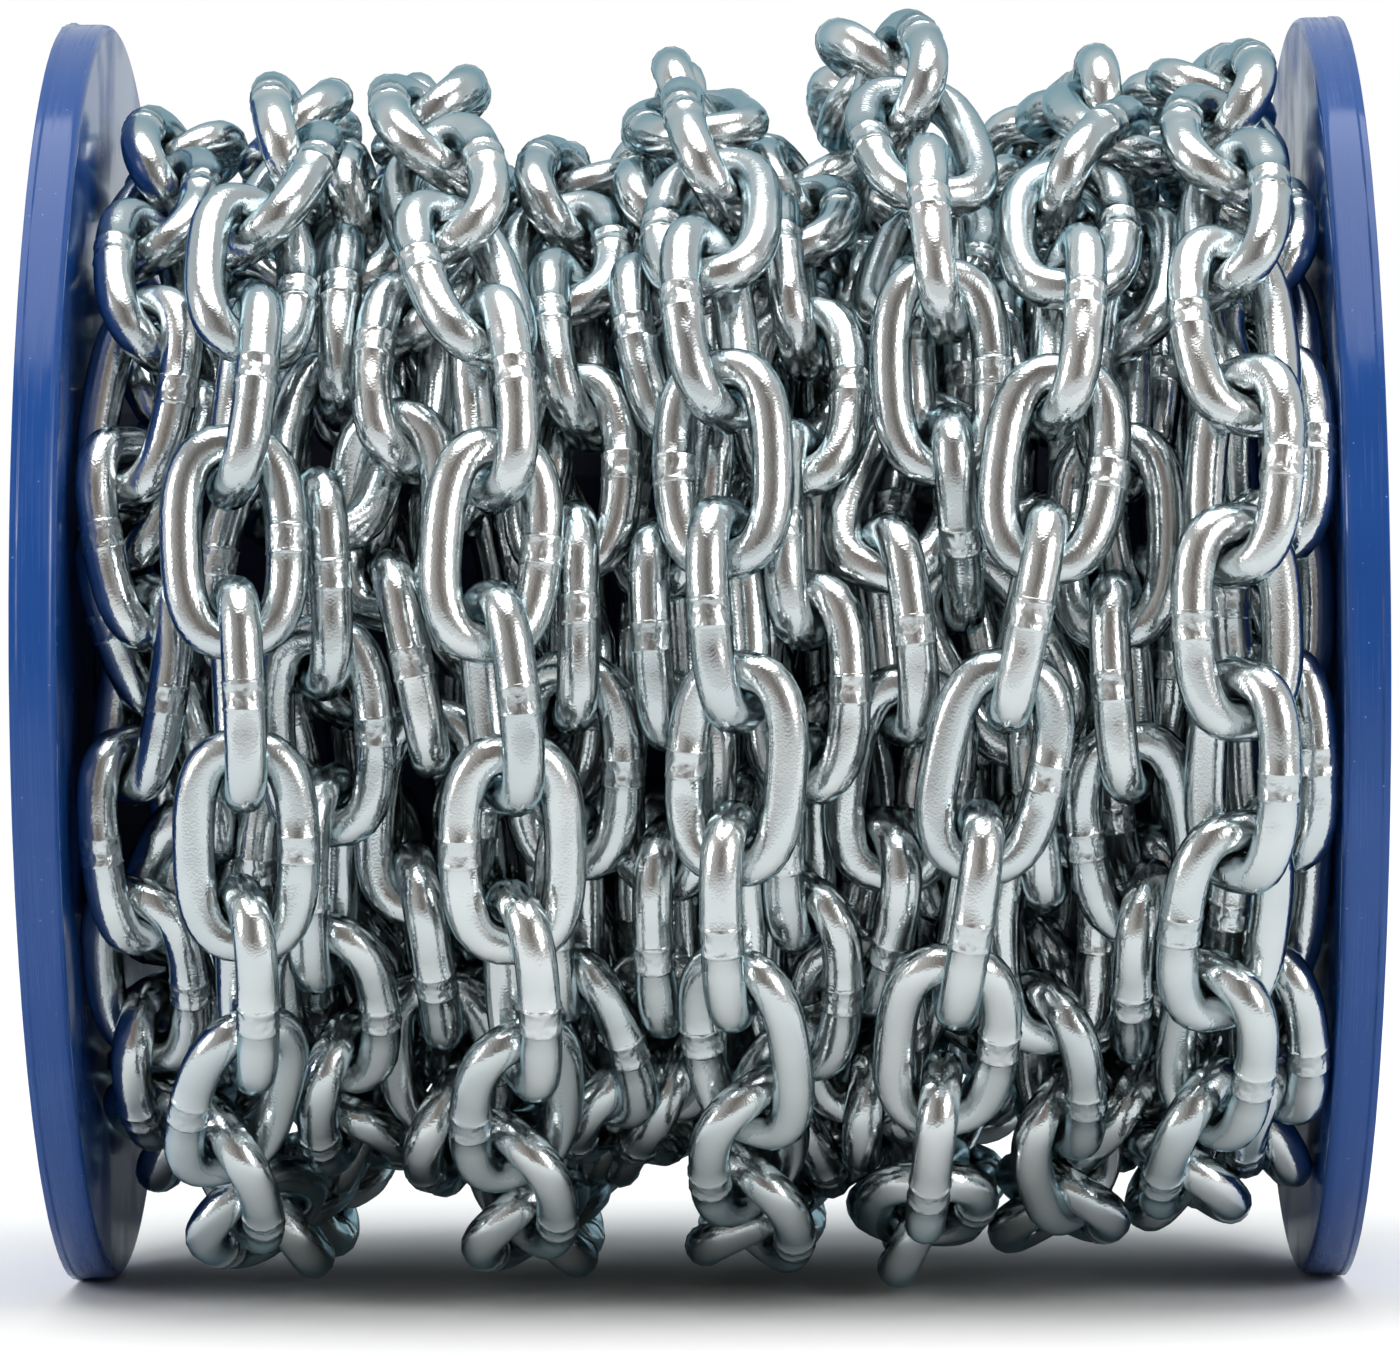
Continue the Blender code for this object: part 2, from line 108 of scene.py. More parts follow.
# Each turn, left to right: x in millimetres of its front joints from the top
# down, which of them stands nearest the front, that joint's angle in
# degrees, the roll in degrees of the links at the top, in front and at the
# bottom (0 lies flat on the reel; every second link stands 90 more), how
# many millimetres it lies above the winding, by the angle above the front,
# and the side, 1 or -1, to which its flatter links turn their weld
OUTER_TURNS = [
    {"angle": 2.0, "rolls": (58, 58, 50), "middle": 5, "weld": 1,
     "lifts": [(-90, -9), (-60, -17), (0, -22), (60, -10), (90, -5)],
     "x": [-78.2, -78.4, -78.7, -79.0, -79.0, -79.0, -79.0, -79.0, -78.7, -78.4, -78.2]},
    {"angle": 2.6, "rolls": (45, 8, 40), "middle": 5, "weld": 1,
     "lifts": [(-90, 0), (0, 0), (90, -3)],
     "x": [-60.0, -56.5, -61.0, -62.2, -63.4, -63.8, -62.8, -61.2, -63.2, -67.0, -67.6, -62.5]},
    {"angle": 2.2, "rolls": (50, 20, 40), "middle": 6, "weld": 1,
     "lifts": [(-90, 0), (0, 0), (90, -1)],
     "x": [-41.5, -41.0, -36.0, -36.8, -27.2, -25.6, -26.9, -26.0, -25.3, -24.4, -26.6, -26.4, -25.0]},
    {"angle": -3.6, "rolls": (68, 68, 60), "middle": 6, "weld": -1,
     "lifts": [(-90, 0), (0, 0), (90, -2)],
     "x": [-2.5, -1.5, 0.8, -0.2, 2.1, 3.5, 3.8, 6.0, 4.9, 6.2, 7.8, 6.5, 6.0]},
    {"angle": -3.9, "rolls": (95, 92, 90), "middle": 6, "weld": 1,
     "lifts": [(-90, 0), (0, 0), (90, -1)],
     "x": [59.0, 58.8, 53.8, 52.7, 50.5, 47.5, 42.7, 38.1, 35.0, 33.2, 31.0, 29.5]},
    {"angle": -4.1, "rolls": (30, 30, 45), "middle": 6, "weld": 1,
     "lifts": [(-90, -9), (-50, -4), (0, 0), (90, 2)],
     "x": [76.0, 75.0, 74.0, 73.5, 76.0, 74.0, 75.6, 75.0, 72.0, 68.0, 68.6, 67.0, 69.0, 73.6]},
]

# A shorter strand that rides over its neighbours at the top and dives under
# the fifth turn in front
CROSSING_TURNS = [
    {"angle": 18.8, "rolls": (45, 0, 20), "middle": 4, "weld": 1,
     "lifts": [(-90, 0), (-55, -4), (-30, -12), (-5, -20.5), (10, -16), (25, -7), (45, 3),
               (60, 10), (75, 9), (90, 6)],
     "x": [25.0, 30.5, 33.0, 33.6, 34.2, 36.8, 42.5, 50.0, 53.0, 50.5, 53.0, 50.5, 51.3]},
]

# The second layer, seen between the outer turns
SECOND_LIFTS = [(-90, -14), (-50, -13), (0, -13), (50, -13), (90, -15)]
SECOND_TURNS = [
    {"angle": -0.4, "rolls": (60, 90, 60), "middle": 5, "weld": 1,
     "x": [-48.0, -48.0, -49.0, -50.0, -51.5, -52.0, -51.5, -51.0, -51.0, -50.0, -49.0, -48.0]},
    {"angle": -9.5, "rolls": (60, 85, 60), "middle": 6, "weld": 1,
     "x": [-37.0, -38.0, -40.0, -41.0, -42.0, -40.0, -38.5, -40.5, -40.0, -39.0, -39.0, -38.0]},
    {"angle": -4.0, "rolls": (70, 90, 60), "middle": 5, "weld": 1,
     "x": [-16.0, -17.0, -18.0, -16.0, -15.0, -15.0, -15.0, -15.0, -15.0, -14.5, -14.0, -14.0]},
    {"angle": -5.9, "rolls": (40, 75, 60), "middle": 6, "weld": -1,
     "x": [-4.0, -5.0, -7.0, -8.0, -8.0, -6.5, -5.5, -5.5, -6.5, -7.5, -9.0, -9.0]},
    {"angle": 4.7, "rolls": (60, 80, 50), "middle": 5, "weld": 1,
     "x": [15.0, 13.0, 12.0, 14.0, 16.0, 18.0, 17.0, 15.0, 14.0, 13.0, 14.0, 16.0]},
    {"angle": -7.0, "rolls": (50, 80, 60), "middle": 6, "weld": 1,
     "x": [38.0, 37.0, 34.0, 31.0, 29.0, 28.0, 26.5, 23.5, 21.5, 20.5, 22.0, 24.0]},
    {"angle": -11.0, "rolls": (60, 70, 60), "middle": 6, "weld": -1,
     "x": [60.0, 59.0, 58.0, 57.0, 56.0, 57.0, 59.0, 62.5, 63.5, 62.0, 60.0, 58.0]},
    {"angle": -3.0, "rolls": (40, 35, 40), "middle": 5, "weld": 1,
     "x": [78.0, 79.0, 79.5, 79.5, 79.0, 79.5, 79.5, 79.0, 79.0, 79.0, 78.0, 77.0]},
]

# The innermost layer: even turns on the drum, hanging away from it in front
THIRD_LIFTS = [(-90, -29), (-50, -26), (0, -26), (50, -26), (90, -29)]
THIRD_COUNT = 12
THIRD_REACH = 74.0
# Its joints in front, how far they wander and may reach in millimetres, how
# far up or down the front one may lie in degrees, and the rolls it may have
THIRD_JOINTS = 9
THIRD_WANDER = 2.0
THIRD_LIMIT = 78.0
THIRD_ANGLE = 8
THIRD_ROLLS = (30, 60)

# Where each length of chain begins and ends behind the reel, between the
# turns: x in metres, the angle above the front, and lift in metres
OUTER_ENDS = ((-0.0775, math.radians(115), -0.012), (0.0775, math.radians(-188), 0.0))
CROSSING_ENDS = ((0.0240, math.radians(166), -0.018), (0.0530, math.radians(-100), -0.004))
SECOND_ENDS = ((-0.0720, math.radians(215), -0.014), (0.0700, math.radians(-188), -0.014))
THIRD_ENDS = ((-0.0745, math.radians(235), -0.029), (0.0740, math.radians(-188), -0.028))

# How much a link's own side counts against the outside, for its weld
WELD_SIDE_PULL = 0.5

# Steps in which a path round the reel is measured
PATH_STEPS = 2000
SOLVE_ROUNDS = 8

# Settling: rounds, points along each link's wire, and how firmly a link of
# the outer, middle and inner layers stays where it was laid
SETTLE_ROUNDS = 360
SEARCH_EVERY = 6
WIRE_POINTS = 24
HOLD = {"outer": 0.12, "second": 0.03, "third": 0.015}
JOINT_PLAY = 1.1 * MM
CLEARANCE = 0.12 * MM
# How far the wires stay inside the CAD box, and off the flanges
BOX_MARGIN = 0.1 * MM
FLANGE_MARGIN = 0.2 * MM
# How far from its middle a link's weight lies, for its turning
SWING = LINK_LENGTH / 3
# How far along its wire a point may slide to where two wires pass, in steps
# between points, and the least spread that two wires' ways are taken to have
SLIDE = 0.6
LEAST_SPREAD = 0.05
# The wire's thickness at the start, and the share of the rounds in which the
# rest is added
FIRST_THICKNESS = 0.35
GROWING_SHARE = 0.5
# The share of the rounds in which the hold on a link's first place fades out
HOLDING_SHARE = 0.7
# A link moves by this much of its pushes' sum, less with more pushes
PUSH_SHARE = 1.6
PUSH_POWER = 0.8
# Lengths below this count as none
TINY = 1e-6
RANDOM_SEED = 7


# Layout of the strands


def between_stops(stops, value):
    """Value at a place between (place, value) stops, which rise in place."""
    places = [place for place, _ in stops]
    i = min(max(bisect.bisect_right(places, value), 1), len(stops) - 1)
    (low, first), (high, last) = stops[i - 1], stops[i]
    return first + (last - first) * (value - low) / (high - low)


def winding_radius(angle):
    """Radius of the outermost chain's middle at an angle above the front."""
    degrees = math.degrees(angle)
    while degrees > 90:
        degrees -= 360
    while degrees < -270:
        degrees += 360
    return MM * between_stops(WINDING, degrees)


def joint_point(x, angle, lift):
    r = winding_radius(angle) + lift
    return Vector((x, -r * math.cos(angle), AXIS_HEIGHT + r * math.sin(angle)))


def turn_lift(turn, angle):
    """How far a turn lies above the winding, at an angle in front."""
    degrees = min(max(math.degrees(angle), -90), 90)
    return MM * between_stops(turn["lifts"], degrees)


def neighbour_angle(turn, x0, angle0, x1, way):
    """The angle of the joint at x1 that lies one pitch from the joint at x0."""
    r0 = winding_radius(angle0) + turn_lift(turn, angle0)
    angle1 = angle0
    for _ in range(SOLVE_ROUNDS):
        r1 = winding_radius(angle1) + turn_lift(turn, angle1)
        cosine = (r0 * r0 + r1 * r1 + (x1 - x0) ** 2 - PITCH ** 2) / (2 * r0 * r1)
        angle1 = angle0 + way * math.acos(cosine)
    return angle1


def front_joints(turn, shift):
    """(x, angle, lift) of the joints seen from the front, from the top down."""
    xs = [MM * x for x in turn["x"]]
    middle = turn["middle"]
    angles = [0.0] * len(xs)
    angles[middle] = math.radians(turn["angle"])
    for i in range(middle - 1, -1, -1):
        angles[i] = neighbour_angle(turn, xs[i + 1], angles[i + 1], xs[i], 1)
    for i in range(middle + 1, len(xs)):
        angles[i] = neighbour_angle(turn, xs[i - 1], angles[i - 1], xs[i], -1)
    return [(x, angle + shift, turn_lift(turn, angle)) for x, angle in zip(xs, angles)]


def ease(part):
    return part * part * (3 - 2 * part)


def path_joints(start, end, whole):
    """Joints between two places: evenly spaced if whole, or else in full pitches from the start."""
    places = []
    for i in range(PATH_STEPS + 1):
        part = i / PATH_STEPS
        _, angle, lift = (a + (b - a) * part for a, b in zip(start, end))
        places.append((start[0] + (end[0] - start[0]) * ease(part), angle, lift))
    points = [joint_point(*place) for place in places]
    lengths = [0.0]
    for a, b in zip(points, points[1:]):
        lengths.append(lengths[-1] + (b - a).length)
    count = math.ceil(lengths[-1] / PITCH)
    spacing = lengths[-1] / count if whole else PITCH
    return [places[bisect.bisect_left(lengths, spacing * i)] for i in range(1, count)]


def weld_outward(roll, side):
    """The same roll or half a turn more, whichever brings the link's weld to
    the outside, or on a flat link to the turn's own side."""
    angle = math.radians(roll)
    return roll if math.sin(angle) > WELD_SIDE_PULL * side * math.cos(angle) else roll + 180


def front_rolls(turn):
    """Roll of each link between a turn's front joints, in degrees."""
    top, front, bottom = turn["rolls"]
    above = turn["middle"] - 1
    last = len(turn["x"]) - 2
    rolls = []
    for i in range(last + 1):
        if i <= above:
            base = top + (front - top) * i / above
        else:
            base = front + (bottom - front) * (i - above) / (last - above)
        rolls.append(weld_outward(base + 90 * (i - above), turn.get("weld", 1)))
    return rolls


def rolls_between(start, end, count):
    """Rolls of the links between two given ones: 90 more each time, and the rest as an even twist."""
    steps = count + 1
    spare = (end - start - 90 * steps + 90) % 180 - 90
    return [weld_outward(start + (90 + spare / steps) * i, 1) for i in range(1, steps)]


def strand(turns, ends):
    """Points of all joints of a length of chain in order, and the roll of each link in radians."""
    lead_in, tail = ends
    full_turn = 2 * math.pi
    joints = []
    rolls = []
    for number, turn in enumerate(turns):
        front = front_joints(turn, -number * full_turn)
        own_rolls = front_rolls(turn)
        if rolls:
            between = path_joints(joints[-1], front[0], True)
            rolls += rolls_between(rolls[-1], own_rolls[0], len(between) + 1)
        else:
            between = path_joints(front[0], lead_in, False)[::-1]
            rolls += [weld_outward(own_rolls[0] - 90 * i, 1) for i in range(len(between), 0, -1)]
        joints += between + front
        rolls += own_rolls
    x, angle, lift = tail
    tail = (x, angle - (len(turns) - 1) * full_turn, lift)
    between = path_joints(joints[-1], tail, False)
    joints += between
    rolls += [weld_outward(rolls[-1] + 90 * (i + 1), 1) for i in range(len(between))]
    return [joint_point(*joint) for joint in joints], [math.radians(roll) for roll in rolls]


def link_frame(start, end, roll):
    """Middle, length axis, width axis and face axis of the link between two joints."""
    middle = (start + end) / 2
    along = (end - start).normalized()
    outward = middle - Vector((middle.x, 0, AXIS_HEIGHT))
    outward -= along * outward.dot(along)
    outward.normalize()
    sideways = along.cross(outward)
    across = math.cos(roll) * sideways + math.sin(roll) * outward
    return middle, along, across, along.cross(across)


def second_layer():
    turns = [dict(turn, lifts=SECOND_LIFTS) for turn in SECOND_TURNS]
    return strand(turns, SECOND_ENDS)


def third_layer(dice):
    """The innermost layer's even turns, each wandering a little."""
    turns = []
    for number in range(THIRD_COUNT):
        x = -THIRD_REACH + 2 * THIRD_REACH * number / (THIRD_COUNT - 1)
        wander = dice.uniform(-THIRD_WANDER, THIRD_WANDER, THIRD_JOINTS)
        turns.append({
            "angle": dice.uniform(-THIRD_ANGLE, THIRD_ANGLE),
            "rolls": tuple(dice.uniform(*THIRD_ROLLS, 3)),
            "middle": THIRD_JOINTS // 2,
            "lifts": THIRD_LIFTS,
            "x": [min(max(x + w, -THIRD_LIMIT), THIRD_LIMIT) for w in wander],
        })
    return strand(turns, THIRD_ENDS)


def lay_links(dice):
    """All links in order: their places, axes, strand numbers and layers."""
    strands = [
        (strand(OUTER_TURNS, OUTER_ENDS), "outer"),
        (strand(CROSSING_TURNS, CROSSING_ENDS), "outer"),
        (second_layer(), "second"),
        (third_layer(dice), "third"),
    ]
    centres, axes, numbers, layers = [], [], [], []
    for number, ((points, rolls), layer) in enumerate(strands):
        for start, end, roll in zip(points, points[1:], rolls):
            middle, along, across, facing = link_frame(start, end, roll)
            centres.append(middle)
            axes.append([along, across, facing])
            numbers.append(number)
            layers.append(layer)
    # Axes are kept as the columns of each link's turning matrix
    turns = np.array(axes).transpose(0, 2, 1)
    return np.array(centres), turns, np.array(numbers), layers


# Settling of the links


def wire_line(count):
    """Evenly spaced points along a link's middle line, in its own plane."""
    side = (LINK_WIDTH - WIRE) / 2
    straight = LINK_LENGTH - WIRE - 2 * side
    around = 2 * straight + 2 * math.pi * side
    points = []
    for i in range(count):
        way = around * i / count
        if way < straight:
            points.append((way - straight / 2, side, 0))
        elif way < straight + math.pi * side:
            angle = (way - straight) / side
            points.append((straight / 2 + side * math.sin(angle), side * math.cos(angle), 0))
        elif way < 2 * straight + math.pi * side:
            points.append((straight / 2 - (way - straight - math.pi * side), -side, 0))
        else:
            angle = (way - 2 * straight - math.pi * side) / side
            points.append((-straight / 2 - side * math.sin(angle), -side * math.cos(angle), 0))
    return np.array(points)


# An angle below this counts as no turn
LEAST_TURN = 1e-9


def turned(turns, steps):
    """Turning matrices after a small turn of each, given as a rotation vector."""
    angle = np.linalg.norm(steps, axis=1)[:, None, None]
    safe = np.maximum(angle, LEAST_TURN)
    x, y, z = (steps / safe[:, 0]).T
    zero = np.zeros_like(x)
    cross = np.array([[zero, -z, y], [z, zero, -x], [-y, x, zero]]).transpose(2, 0, 1)
    spin = np.eye(3) + np.sin(angle) * cross + (1 - np.cos(angle)) * cross @ cross
    return spin @ turns


class Pile:
    """Rigid links that are pushed apart where their wires cross and held together at their joints."""

    def __init__(self, centres, turns, numbers, layers):
        self.centres = centres.copy()
        self.turns = turns.copy()
        self.home = centres.copy()
        self.line = wire_line(WIRE_POINTS)
        self.tangents = np.roll(self.line, -1, axis=0) - np.roll(self.line, 1, axis=0)
        self.tangents /= np.linalg.norm(self.tangents, axis=1)[:, None]
        self.slide = np.linalg.norm(self.line[1] - self.line[0]) * SLIDE
        self.hold = np.array([HOLD[layer] for layer in layers])[:, None]
        self.joined = np.nonzero(numbers[:-1] == numbers[1:])[0]
        self.inertia = SWING ** 2

    def wires(self):
        return self.centres[:, None] + self.line @ self.turns.transpose(0, 2, 1)

    def closest_points(self, wires, first, second):
        """For each pair of links, the numbers of the two wire points that lie closest."""
        count = len(self.line)
        a = wires[first].astype(np.float32)
        b = wires[second].astype(np.float32)
        squares = (a ** 2).sum(-1)[:, :, None] + (b ** 2).sum(-1)[:, None] - 2 * a @ b.transpose(0, 2, 1)
        flat = squares.reshape(len(first), -1)
        closest = flat.argmin(1)
        return closest // count, closest % count, flat[np.arange(len(first)), closest]

    def near_pairs(self):
        """Pairs of links whose wires lie close enough to touch within a few rounds."""
        reach = LINK_LENGTH + WIRE
        gaps = self.centres[:, None] - self.centres[None]
        near = (gaps ** 2).sum(-1) < reach ** 2
        first, second = np.nonzero(np.triu(near, 1))
        squares = self.closest_points(self.wires(), first, second)[2]
        close = squares < (2 * WIRE) ** 2
        return first[close], second[close]

    def push(self, links, arms, pushes):
        """Collects moves and turns of links that are pushed at arms from their centres."""
        np.add.at(self.moves, links, pushes)
        np.add.at(self.spins, links, np.cross(arms, pushes) / self.inertia)
        np.add.at(self.counts, links, 1)

    def give(self, arms, ways):
        """How easily a link gives way when pushed along a way at an arm."""
        return 1 + (np.cross(arms, ways) ** 2).sum(-1) / self.inertia

    def part_wires(self, wires, first, second, wire):
        """Pushes each pair of links apart where their wires come closest."""
        i, j, _ = self.closest_points(wires, first, second)
        here = wires[first, i]
        there = wires[second, j]
        # Slide both points along their wires to where the two really pass
        along = np.einsum("nij,nj->ni", self.turns[first], self.tangents[i])
        other = np.einsum("nij,nj->ni", self.turns[second], self.tangents[j])
        way = here - there
        b = (along * other).sum(-1)
        d = (along * way).sum(-1)
        e = (other * way).sum(-1)
        spread = np.maximum(1 - b * b, LEAST_SPREAD)
        s = np.clip((b * e - d) / spread, -self.slide, self.slide)
        t = np.clip((e - b * d) / spread, -self.slide, self.slide)
        here = here + along * s[:, None]
        there = there + other * t[:, None]
        way = here - there
        gap = np.linalg.norm(way, axis=1)
        depth = wire + CLEARANCE - gap
        hit = depth > 0
        first, second, here, there = first[hit], second[hit], here[hit], there[hit]
        way = way[hit] / np.maximum(gap[hit], TINY)[:, None]
        arm_a = here - self.centres[first]
        arm_b = there - self.centres[second]
        share = depth[hit] / (self.give(arm_a, way) + self.give(arm_b, way))
        push = way * share[:, None]
        self.push(first, arm_a, push)
        self.push(second, arm_b, -push)

    def hold_joints(self):
        """Draws neighbours in a strand together where their joint has opened too far."""
        half = PITCH / 2
        a, b = self.joined, self.joined + 1
        arm_a = self.turns[a, :, 0] * half
        arm_b = -self.turns[b, :, 0] * half
        way = self.centres[a] + arm_a - self.centres[b] - arm_b
        gap = np.linalg.norm(way, axis=1)
        stretch = gap - JOINT_PLAY
        hit = stretch > 0
        way = way[hit] / gap[hit][:, None]
        share = stretch[hit] / (self.give(arm_a[hit], way) + self.give(arm_b[hit], way))
        push = way * share[:, None]
        self.push(a[hit], arm_a[hit], -push)
        self.push(b[hit], arm_b[hit], push)

    def keep_in(self, wires):
        """Keeps wires off the drum, the flanges and the floor, and inside the CAD box."""
        half = WIRE / 2
        count = len(self.line)
        flat = wires.reshape(-1, 3)
        links = np.repeat(np.arange(len(wires)), count)
        arms = flat - np.repeat(self.centres, count, axis=0)
        low, high = (np.array(corner) for corner in cad_bounds)
        low = low + half + BOX_MARGIN
        high = high - half - BOX_MARGIN
        low[0], high[0] = -INSIDE + half + FLANGE_MARGIN, INSIDE - half - FLANGE_MARGIN
        out = np.clip(flat, low, high) - flat
        height = flat[:, 2] - AXIS_HEIGHT
        radius = np.hypot(flat[:, 1], height)
        short = np.maximum(DRUM_RADIUS + half - radius, 0) / np.maximum(radius, TINY)
        out[:, 1] += flat[:, 1] * short
        out[:, 2] += height * short
        deep = np.linalg.norm(out, axis=1)
        hit = deep > TINY
        if hit.any():
            way = out[hit] / deep[hit][:, None]
            share = deep[hit] / self.give(arms[hit], way)
            self.push(links[hit], arms[hit], way * share[:, None])

    def settle(self, rounds):
        """Lets the wires grow to full thickness while the links make room for each other."""
        for number in range(rounds):
            if number % SEARCH_EVERY == 0:
                first, second = self.near_pairs()
            self.moves = np.zeros_like(self.centres)
            self.spins = np.zeros_like(self.centres)
            self.counts = np.zeros(len(self.centres))
            wires = self.wires()
            grown = min(1.0, FIRST_THICKNESS + number / (GROWING_SHARE * rounds))
            self.part_wires(wires, first, second, WIRE * grown)
            self.hold_joints()
            self.keep_in(wires)
            counts = np.maximum(self.counts, 1)[:, None]
            ease_in = PUSH_SHARE / counts ** PUSH_POWER
            fade = max(0.0, 1 - number / (HOLDING_SHARE * rounds))
            self.centres += self.moves * ease_in + (self.home - self.centres) * self.hold * fade
            self.turns = turned(self.turns, self.spins * ease_in)


# Node trees


def colour(code):
    """Linear colour for an sRGB hex code."""
    parts = [int(code[i:i + 2], 16) / 255 for i in (1, 3, 5)]
    linear = [p / 12.92 if p <= 0.04045 else ((p + 0.055) / 1.055) ** 2.4 for p in parts]
    return (*linear, 1.0)


def add_node(tree, kind, links=None, values=None, **settings):
    """Adds a node: its settings, its sockets' values, and the sockets that feed it."""
    node = tree.nodes.new(kind)
    for name, value in settings.items():
        setattr(node, name, value)
    for socket, value in (values or {}).items():
        node.inputs[socket].default_value = value
    for socket, source in (links or {}).items():
        tree.links.new(source, node.inputs[socket])
    return node


def new_material(name):
    """An empty node material with its shader: (material, tree, shader)."""
    material = bpy.data.materials.new(name)
    material.use_nodes = True
    tree = material.node_tree
    tree.nodes.clear()
    shader = add_node(tree, "ShaderNodeBsdfPrincipled")
    add_node(tree, "ShaderNodeOutputMaterial", {"Surface": shader.outputs["BSDF"]})
    return material, tree, shader


def zinc_plated_steel():
    """Mild steel wire, bent, welded and bright zinc plated: mirror-like with a
    blue cast at the edges, a fine orange peel that makes the highlights
    sparkle, small dents, and a rougher welded joint."""
    material, tree, shader = new_material("zinc_plated_steel_chain")
    shader.inputs["Metallic"].default_value = 1.0
    shader.inputs["Specular Tint"].default_value = colour("#a9cbd6")
    place = add_node(tree, "ShaderNodeTexCoord").outputs["Object"]
    weld = add_node(tree, "ShaderNodeAttribute", attribute_name="weld").outputs["Fac"]
    shade = add_node(tree, "ShaderNodeAttribute", attribute_name="link_shade").outputs["Fac"]
    # Plating tone: cloudy patches about 6 mm across, a little different on each link
    clouds = add_node(tree, "ShaderNodeTexNoise", {"Vector": place}, {"Scale": 160.0, "Detail": 0.0})
    tone = add_node(tree, "ShaderNodeMath", {0: clouds.outputs["Fac"], 1: shade}, operation="ADD")
    tint = add_node(tree, "ShaderNodeMapRange", {"Value": tone.outputs["Value"]},
                    {"From Min": 0.45, "From Max": 1.55, "To Min": 0.0, "To Max": 1.0})
    base = add_node(tree, "ShaderNodeMix", {"Factor": tint.outputs["Result"]},
                    {"A": colour("#cbd2d4"), "B": colour("#e2e5e5")}, data_type="RGBA")
    tree.links.new(base.outputs["Result"], shader.inputs["Base Color"])
    # Gloss: smooth with duller smears; the weld is ground and duller
    smears = add_node(tree, "ShaderNodeTexNoise", {"Vector": place}, {"Scale": 420.0, "Detail": 0.0})
    gloss = add_node(tree, "ShaderNodeMapRange", {"Value": smears.outputs["Fac"]},
                     {"From Min": 0.24, "From Max": 0.94, "To Min": 0.12, "To Max": 0.27})
    rough = add_node(tree, "ShaderNodeMath", {0: weld, 2: gloss.outputs["Result"]}, {1: 0.06},
                     operation="MULTIPLY_ADD")
    tree.links.new(rough.outputs["Value"], shader.inputs["Roughness"])
    # Relief, its heights in millimetres: orange peel 0.35 mm apart, dents and
    # ripples 3 mm apart, and torn metal 1 mm apart at the weld
    peel = add_node(tree, "ShaderNodeTexNoise", {"Vector": place}, {"Scale": 2900.0, "Detail": 0.0})
    dents = add_node(tree, "ShaderNodeTexNoise", {"Vector": place}, {"Scale": 300.0, "Detail": 0.0})
    torn = add_node(tree, "ShaderNodeTexNoise", {"Vector": place}, {"Scale": 950.0, "Detail": 0.0})
    height = add_node(tree, "ShaderNodeMath", {0: dents.outputs["Fac"]}, {1: 0.035}, operation="MULTIPLY")
    height = add_node(tree, "ShaderNodeMath", {0: peel.outputs["Fac"], 2: height.outputs["Value"]},
                      {1: 0.027}, operation="MULTIPLY_ADD")
    rough_weld = add_node(tree, "ShaderNodeMath", {0: weld}, {1: 0.20}, operation="MULTIPLY")
    height = add_node(tree, "ShaderNodeMath", {0: torn.outputs["Fac"], 1: rough_weld.outputs["Value"],
                                               2: height.outputs["Value"]}, operation="MULTIPLY_ADD")
    relief = add_node(tree, "ShaderNodeBump", {"Height": height.outputs["Value"]}, {"Distance": MM})
    tree.links.new(relief.outputs["Normal"], shader.inputs["Normal"])
    return material


def blue_moulded_plastic():
    """Injection moulded polypropylene, coloured right through: glossy deep
    blue, with dull purple-grey scuffs, turned-looking scratches round the
    rim, and white specks of dust."""
    material, tree, shader = new_material("blue_moulded_plastic")
    shader.inputs["IOR"].default_value = 1.49
    place = add_node(tree, "ShaderNodeTexCoord").outputs["Object"]
    # Scratches run round the rim, 0.3 mm apart across it and 20 mm long
    round_rim = add_node(tree, "ShaderNodeMapping", {"Vector": place}, {"Scale": (3300.0, 50.0, 50.0)})
    scratches = add_node(tree, "ShaderNodeTexNoise", {"Vector": round_rim.outputs["Vector"]},
                         {"Scale": 1.0, "Detail": 3.0})
    patches = add_node(tree, "ShaderNodeTexNoise", {"Vector": place}, {"Scale": 45.0, "Detail": 5.0})
    both = add_node(tree, "ShaderNodeMath", {0: scratches.outputs["Fac"], 1: patches.outputs["Fac"]},
                    operation="MULTIPLY")
    scuffed = add_node(tree, "ShaderNodeMapRange", {"Value": both.outputs["Value"]},
                       {"From Min": 0.25, "From Max": 0.42, "To Min": 0.0, "To Max": 0.28})
    body = add_node(tree, "ShaderNodeMix", {"Factor": scuffed.outputs["Result"]},
                    {"A": colour("#1b4b93"), "B": colour("#4664a2")}, data_type="RGBA")
    specks = add_node(tree, "ShaderNodeTexVoronoi", {"Vector": place}, {"Scale": 420.0})
    speck = add_node(tree, "ShaderNodeMapRange", {"Value": specks.outputs["Distance"]},
                     {"From Min": 0.06, "From Max": 0.03, "To Min": 0.0, "To Max": 0.7})
    dusty = add_node(tree, "ShaderNodeMix",
                     {"Factor": speck.outputs["Result"], "A": body.outputs["Result"]},
                     {"B": colour("#a8b4d8")}, data_type="RGBA")
    tree.links.new(dusty.outputs["Result"], shader.inputs["Base Color"])
    gloss = add_node(tree, "ShaderNodeMapRange", {"Value": both.outputs["Value"]},
                     {"From Min": 0.2, "From Max": 0.42, "To Min": 0.12, "To Max": 0.42})
    tree.links.new(gloss.outputs["Result"], shader.inputs["Roughness"])
    relief = add_node(tree, "ShaderNodeBump", {"Height": scratches.outputs["Fac"]},
                      {"Strength": 0.35, "Distance": 0.02 * MM})
    relief = add_node(tree, "ShaderNodeBump",
                      {"Height": patches.outputs["Fac"], "Normal": relief.outputs["Normal"]},
                      {"Strength": 0.4, "Distance": 0.15 * MM})
    tree.links.new(relief.outputs["Normal"], shader.inputs["Normal"])
    return material


